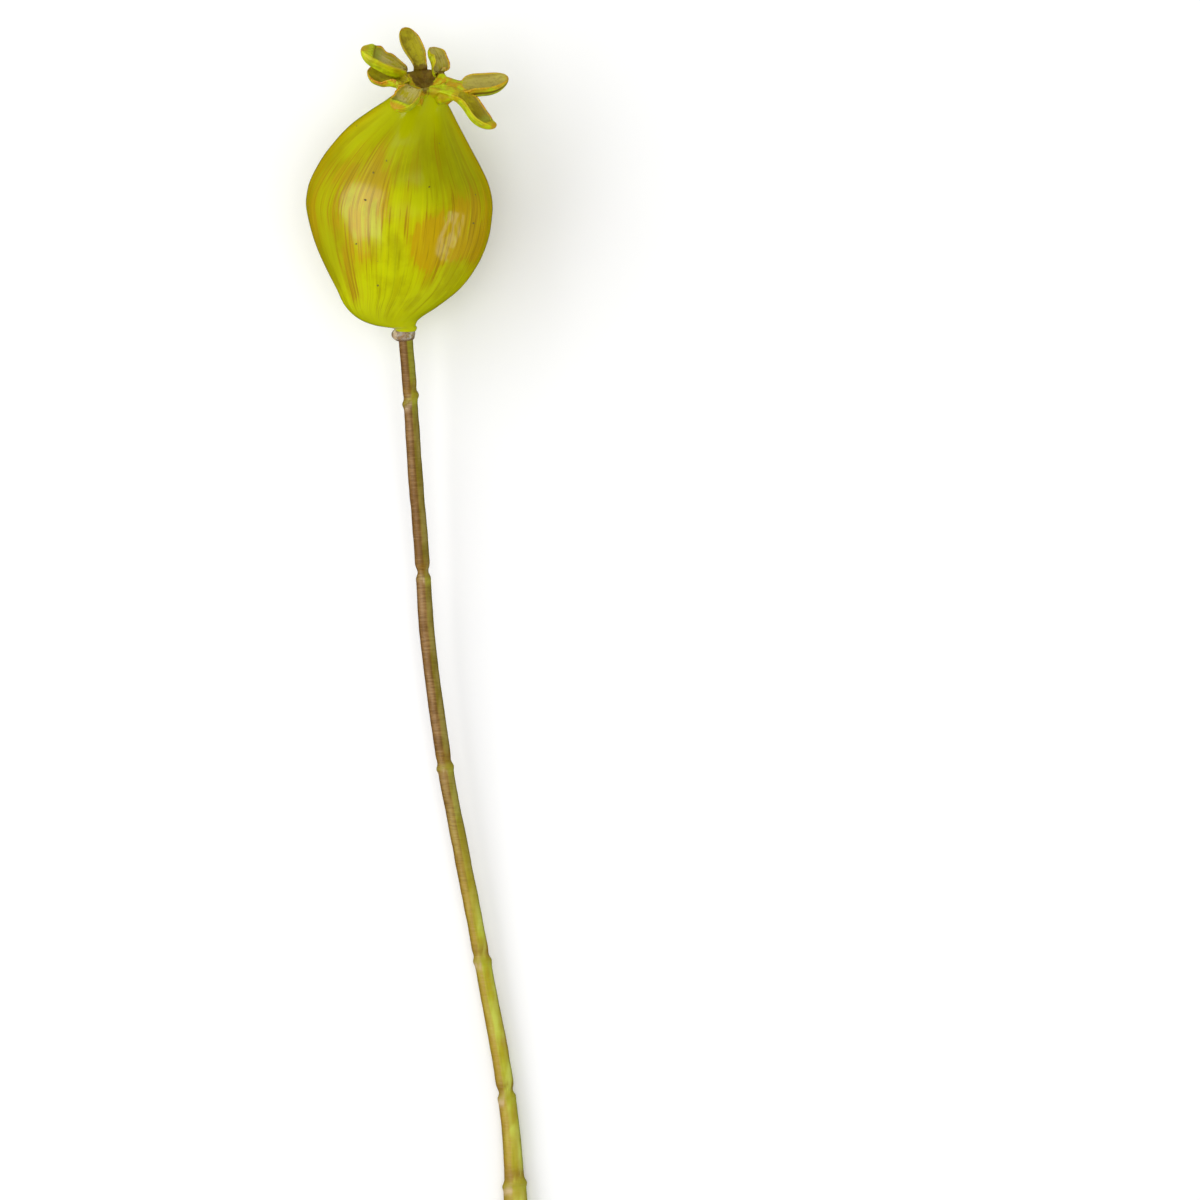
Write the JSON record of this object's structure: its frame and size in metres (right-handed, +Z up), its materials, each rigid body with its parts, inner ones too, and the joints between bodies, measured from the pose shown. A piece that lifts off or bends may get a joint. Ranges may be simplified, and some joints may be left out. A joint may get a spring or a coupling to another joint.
{
  "type": "poppy seed head",
  "caption": "Decorative poppy seed head lying on its side: painted pod with a star crown of lobes, clear base collar and a jointed stem.",
  "frame": {"origin": "under the middle of the whole thing, on the surface that it lies on", "axes": "+Y from the cut end of the stem to the crown, +X sideways, +Z up from the surface"},
  "size_m": [0.0502, 0.2734, 0.0419],
  "materials": {
    "pod_skin": "satin lime moulding with olive and ochre brush strokes along its length",
    "crown_lobes": "satin olive moulding with lime rims and orange-brown edges",
    "clear_collar": "glossy, slightly cloudy clear glue ring",
    "stem_skin": "satin moulded skin, brown-pink on one side and green on the other, yellow-green low down"
  },
  "bodies": {
    "root": {"pod": "pod_skin", "crown": "crown_lobes", "collar": "clear_collar", "stem": "stem_skin"}
  },
  "joints": []
}
